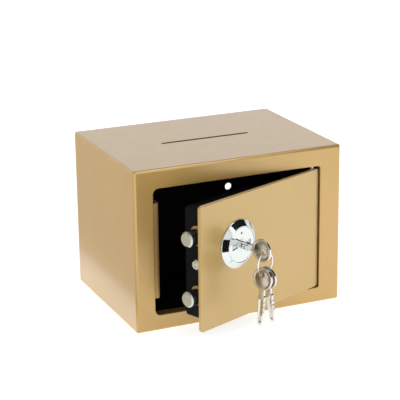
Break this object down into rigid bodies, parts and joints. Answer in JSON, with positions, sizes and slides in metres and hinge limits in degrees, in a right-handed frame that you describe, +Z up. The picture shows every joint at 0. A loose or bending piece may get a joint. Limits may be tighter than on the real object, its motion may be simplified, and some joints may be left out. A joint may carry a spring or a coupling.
{
  "type": "mini safe",
  "caption": "Small steel safe with a hinged front door, key lock, sliding bolts, roof coin slot and a ring of keys.",
  "frame": {"origin": "centre of the base, on the surface it stands on", "axes": "+X to the right seen from the front, +Y to the back, +Z up"},
  "size_m": [0.23, 0.2586, 0.17],
  "materials": {
    "gold_paint": "champagne gold metallic paint with a fine orange peel; the inside of the case is black",
    "keeper_paint": "darker gold metallic paint",
    "black_paint": "satin black paint",
    "bright_bolt": "turned and brightly brushed",
    "chrome": "bright chrome plate",
    "key_nickel": "nickel plate with fine wear",
    "ring_wire": "polished wire",
    "zinc_steel": "zinc plated",
    "lock_die_cast": "die cast, satin",
    "bush_brass": "turned brass",
    "index_red": "red enamel"
  },
  "bodies": {
    "safe_body": {"body_wrap": "gold_paint", "front_frame": "gold_paint", "back_panel": "gold_paint", "keeper_strip": "keeper_paint", "upper_hinge_bush": "bush_brass", "lower_hinge_bush": "bush_brass"},
    "door": {"door_plate": "gold_paint", "hinge_blocks": "gold_paint", "upper_hinge_pin": "zinc_steel", "lower_hinge_pin": "zinc_steel", "door_pan": "black_paint", "pan_posts": "zinc_steel", "pan_rear_screws": "zinc_steel", "pan_side_screw": "chrome", "bolt_guide": "keeper_paint", "carriage_studs": "zinc_steel", "stud_clips": "zinc_steel", "lock_escutcheon": "chrome", "lock_face": "chrome", "index_dot": "index_red", "lock_housing": "lock_die_cast", "lock_nut": "zinc_steel"},
    "lock_plug": {"lock_plug": "chrome", "lock_cam": "zinc_steel", "cam_screw": "zinc_steel"},
    "bolt_work": {"bolt_carriage": "zinc_steel", "upper_bolt": "bright_bolt", "lower_bolt": "bright_bolt", "bolt_screws": "zinc_steel"},
    "inserted_key": {"inserted_key": "key_nickel"},
    "key_ring": {"key_ring": "ring_wire"},
    "spare_key_front": {"spare_key_front": "key_nickel"},
    "spare_key_rear": {"spare_key_rear": "key_nickel"}
  },
  "joints": [
    {"name": "door_hinge", "type": "hinge", "parent": "safe_body", "child": "door", "pos_m": [0.0839, -0.0795, 0.085], "axis": [0, 0, 1], "range_deg": [-22.2, 77.8]},
    {"name": "key_turn", "type": "hinge", "parent": "door", "child": "lock_plug", "pos_m": [-0.02318, -0.12914, 0.0966], "axis": [0.3778, -0.9259, 0], "range_deg": [0, 90]},
    {"name": "bolt_slide", "type": "slide", "parent": "door", "child": "bolt_work", "axis": [-0.9259, -0.3778, 0], "range_m": [0, 0.01]},
    {"name": "key_withdraw", "type": "slide", "parent": "lock_plug", "child": "inserted_key", "axis": [0.3778, -0.9259, 0], "range_m": [0, 0.024]},
    {"name": "ring_swing", "type": "hinge", "parent": "inserted_key", "child": "key_ring", "pos_m": [-0.00996, -0.16154, 0.09525], "axis": [-0.9259, -0.3778, 0], "range_deg": [-10, 80]},
    {"name": "spare_key_front_swing", "type": "hinge", "parent": "key_ring", "child": "spare_key_front", "pos_m": [-0.01231, -0.16251, 0.07456], "axis": [-0.9259, -0.3778, 0], "range_deg": [-12, 60]},
    {"name": "spare_key_rear_swing", "type": "hinge", "parent": "key_ring", "child": "spare_key_rear", "pos_m": [-0.00794, -0.16072, 0.07448], "axis": [-0.9259, -0.3778, 0], "range_deg": [-12, 60]}
  ],
  "couplings": [
    {"joint": "bolt_slide", "follows": "key_turn", "m_per_rad": 0.0063662}
  ]
}
